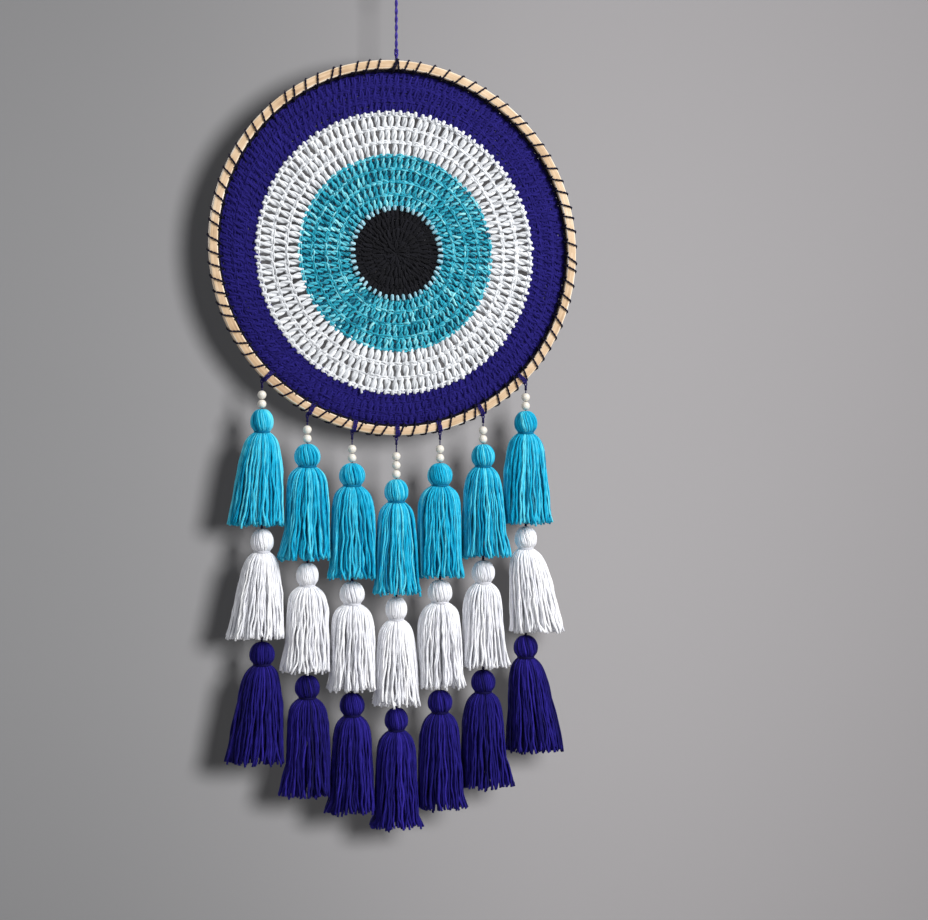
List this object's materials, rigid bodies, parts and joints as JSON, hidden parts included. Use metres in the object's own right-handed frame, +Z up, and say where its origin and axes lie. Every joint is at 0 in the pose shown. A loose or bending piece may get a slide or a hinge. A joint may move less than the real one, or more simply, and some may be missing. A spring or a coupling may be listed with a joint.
{
  "type": "evil eye wall hanging",
  "caption": "Crocheted evil eye laced into a wooden hoop on a hanging cord, with columns of pearls and yarn tassels below.",
  "frame": {"origin": "centre of the hanging eye that goes over the nail", "axes": "+Z up, the front of the eye faces -Y, +X to the right seen from the front"},
  "size_m": [0.3014, 0.0354, 0.6952],
  "materials": {
    "cord_yarn": "doubled purple-blue yarn",
    "wood": "pale bare wood",
    "lashing_thread": "thin dark twisted thread",
    "wrap_yarn": "dark blue twisted yarn",
    "black_yarn": "crocheted acrylic yarn",
    "turquoise_yarn": "crocheted acrylic yarn",
    "white_yarn": "crocheted acrylic yarn",
    "blue_yarn": "crocheted acrylic yarn",
    "pearl": "pearl coat",
    "cyan_tassel_yarn": "loose acrylic yarn",
    "white_tassel_yarn": "loose acrylic yarn",
    "navy_tassel_yarn": "loose acrylic yarn",
    "tie_thread": "dark twisted thread"
  },
  "bodies": {
    "hanger": {"hanging_eye": "cord_yarn"},
    "knot": {"cord_knot": "cord_yarn"},
    "cord": {"hanging_cord": "cord_yarn"},
    "hoop": {"hoop_hitch": "cord_yarn", "hoop": "wood", "lashing": "lashing_thread", "column_wraps": "wrap_yarn", "pupil": "black_yarn", "turquoise_ring": "turquoise_yarn", "white_ring": "white_yarn", "blue_ring": "blue_yarn"},
    "column_1": {"cyan_tassel_1": "cyan_tassel_yarn", "cyan_tie_1": "tie_thread"},
    "column_2": {"cyan_tassel_2": "cyan_tassel_yarn", "cyan_tie_2": "tie_thread"},
    "column_3": {"cyan_tassel_3": "cyan_tassel_yarn", "cyan_tie_3": "tie_thread"},
    "column_4": {"cyan_tassel_4": "cyan_tassel_yarn", "cyan_tie_4": "tie_thread"},
    "column_5": {"cyan_tassel_5": "cyan_tassel_yarn", "cyan_tie_5": "tie_thread"},
    "column_6": {"cyan_tassel_6": "cyan_tassel_yarn", "cyan_tie_6": "tie_thread"},
    "column_7": {"cyan_tassel_7": "cyan_tassel_yarn", "cyan_tie_7": "tie_thread"},
    "pearls_1": {"pearls_1": "pearl"},
    "pearls_2": {"pearls_2": "pearl"},
    "pearls_3": {"pearls_3": "pearl"},
    "pearls_4": {"pearls_4": "pearl"},
    "pearls_5": {"pearls_5": "pearl"},
    "pearls_6": {"pearls_6": "pearl"},
    "pearls_7": {"pearls_7": "pearl"},
    "white_1": {"white_tassel_1": "white_tassel_yarn", "white_tie_1": "tie_thread"},
    "white_2": {"white_tassel_2": "white_tassel_yarn", "white_tie_2": "tie_thread"},
    "white_3": {"white_tassel_3": "white_tassel_yarn", "white_tie_3": "tie_thread"},
    "white_4": {"white_tassel_4": "white_tassel_yarn", "white_tie_4": "tie_thread"},
    "white_5": {"white_tassel_5": "white_tassel_yarn", "white_tie_5": "tie_thread"},
    "white_6": {"white_tassel_6": "white_tassel_yarn", "white_tie_6": "tie_thread"},
    "white_7": {"white_tassel_7": "white_tassel_yarn", "white_tie_7": "tie_thread"},
    "navy_1": {"navy_tassel_1": "navy_tassel_yarn", "navy_tie_1": "tie_thread"},
    "navy_2": {"navy_tassel_2": "navy_tassel_yarn", "navy_tie_2": "tie_thread"},
    "navy_3": {"navy_tassel_3": "navy_tassel_yarn", "navy_tie_3": "tie_thread"},
    "navy_4": {"navy_tassel_4": "navy_tassel_yarn", "navy_tie_4": "tie_thread"},
    "navy_5": {"navy_tassel_5": "navy_tassel_yarn", "navy_tie_5": "tie_thread"},
    "navy_6": {"navy_tassel_6": "navy_tassel_yarn", "navy_tie_6": "tie_thread"},
    "navy_7": {"navy_tassel_7": "navy_tassel_yarn", "navy_tie_7": "tie_thread"}
  },
  "joints": [
    {"name": "cord_sway", "type": "hinge", "parent": "hanger", "child": "knot", "pos_m": [0, 0, -0.01735], "axis": [0, 1, 0], "range_deg": [-25, 25]},
    {"name": "cord_twist", "type": "hinge", "parent": "knot", "child": "cord", "pos_m": [0, 0, -0.02275], "axis": [0, 0, 1], "range_deg": [-90, 90], "stiffness_Nm_per_rad": 0.004},
    {"name": "hoop_tilt", "type": "hinge", "parent": "cord", "child": "hoop", "pos_m": [0, 0, -0.07125], "axis": [1, 0, 0], "range_deg": [-30, 30]},
    {"name": "column_swing_1", "type": "hinge", "parent": "hoop", "child": "column_1", "pos_m": [-0.108, 0, -0.33454], "axis": [1, 0, 0], "range_deg": [-50, 50]},
    {"name": "column_swing_2", "type": "hinge", "parent": "hoop", "child": "column_2", "pos_m": [-0.072, 0, -0.36129], "axis": [1, 0, 0], "range_deg": [-50, 50]},
    {"name": "column_swing_3", "type": "hinge", "parent": "hoop", "child": "column_3", "pos_m": [-0.036, 0, -0.37504], "axis": [1, 0, 0], "range_deg": [-50, 50]},
    {"name": "column_swing_4", "type": "hinge", "parent": "hoop", "child": "column_4", "pos_m": [0, 0, -0.37935], "axis": [1, 0, 0], "range_deg": [-50, 50]},
    {"name": "column_swing_5", "type": "hinge", "parent": "hoop", "child": "column_5", "pos_m": [0.036, 0, -0.37504], "axis": [1, 0, 0], "range_deg": [-50, 50]},
    {"name": "column_swing_6", "type": "hinge", "parent": "hoop", "child": "column_6", "pos_m": [0.072, 0, -0.36129], "axis": [1, 0, 0], "range_deg": [-50, 50]},
    {"name": "column_swing_7", "type": "hinge", "parent": "hoop", "child": "column_7", "pos_m": [0.108, 0, -0.33454], "axis": [1, 0, 0], "range_deg": [-50, 50]},
    {"name": "pearl_slide_1", "type": "slide", "parent": "column_1", "child": "pearls_1", "axis": [0, 0, 1], "range_m": [0, 0.002]},
    {"name": "pearl_slide_2", "type": "slide", "parent": "column_2", "child": "pearls_2", "axis": [0, 0, 1], "range_m": [0, 0.0025]},
    {"name": "pearl_slide_3", "type": "slide", "parent": "column_3", "child": "pearls_3", "axis": [0, 0, 1], "range_m": [0, 0.004]},
    {"name": "pearl_slide_4", "type": "slide", "parent": "column_4", "child": "pearls_4", "axis": [0, 0, 1], "range_m": [0, 0.0055]},
    {"name": "pearl_slide_5", "type": "slide", "parent": "column_5", "child": "pearls_5", "axis": [0, 0, 1], "range_m": [0, 0.004]},
    {"name": "pearl_slide_6", "type": "slide", "parent": "column_6", "child": "pearls_6", "axis": [0, 0, 1], "range_m": [0, 0.0025]},
    {"name": "pearl_slide_7", "type": "slide", "parent": "column_7", "child": "pearls_7", "axis": [0, 0, 1], "range_m": [0, 0.002]},
    {"name": "white_swing_1", "type": "hinge", "parent": "column_1", "child": "white_1", "pos_m": [-0.108, 0, -0.44529], "axis": [1, 0, 0], "range_deg": [-30, 30]},
    {"name": "white_swing_2", "type": "hinge", "parent": "column_2", "child": "white_2", "pos_m": [-0.072, 0, -0.47254], "axis": [1, 0, 0], "range_deg": [-30, 30]},
    {"name": "white_swing_3", "type": "hinge", "parent": "column_3", "child": "white_3", "pos_m": [-0.036, 0, -0.48779], "axis": [1, 0, 0], "range_deg": [-30, 30]},
    {"name": "white_swing_4", "type": "hinge", "parent": "column_4", "child": "white_4", "pos_m": [0, 0, -0.5008], "axis": [1, 0, 0], "range_deg": [-30, 30]},
    {"name": "white_swing_5", "type": "hinge", "parent": "column_5", "child": "white_5", "pos_m": [0.036, 0, -0.48779], "axis": [1, 0, 0], "range_deg": [-30, 30]},
    {"name": "white_swing_6", "type": "hinge", "parent": "column_6", "child": "white_6", "pos_m": [0.072, 0, -0.47254], "axis": [1, 0, 0], "range_deg": [-30, 30]},
    {"name": "white_swing_7", "type": "hinge", "parent": "column_7", "child": "white_7", "pos_m": [0.108, 0, -0.44529], "axis": [1, 0, 0], "range_deg": [-30, 30]},
    {"name": "navy_swing_1", "type": "hinge", "parent": "white_1", "child": "navy_1", "pos_m": [-0.108, 0, -0.53404], "axis": [1, 0, 0], "range_deg": [-30, 30]},
    {"name": "navy_swing_2", "type": "hinge", "parent": "white_2", "child": "navy_2", "pos_m": [-0.072, 0, -0.56129], "axis": [1, 0, 0], "range_deg": [-30, 30]},
    {"name": "navy_swing_3", "type": "hinge", "parent": "white_3", "child": "navy_3", "pos_m": [-0.036, 0, -0.57654], "axis": [1, 0, 0], "range_deg": [-30, 30]},
    {"name": "navy_swing_4", "type": "hinge", "parent": "white_4", "child": "navy_4", "pos_m": [0, 0, -0.58955], "axis": [1, 0, 0], "range_deg": [-30, 30]},
    {"name": "navy_swing_5", "type": "hinge", "parent": "white_5", "child": "navy_5", "pos_m": [0.036, 0, -0.57654], "axis": [1, 0, 0], "range_deg": [-30, 30]},
    {"name": "navy_swing_6", "type": "hinge", "parent": "white_6", "child": "navy_6", "pos_m": [0.072, 0, -0.56129], "axis": [1, 0, 0], "range_deg": [-30, 30]},
    {"name": "navy_swing_7", "type": "hinge", "parent": "white_7", "child": "navy_7", "pos_m": [0.108, 0, -0.53404], "axis": [1, 0, 0], "range_deg": [-30, 30]}
  ]
}
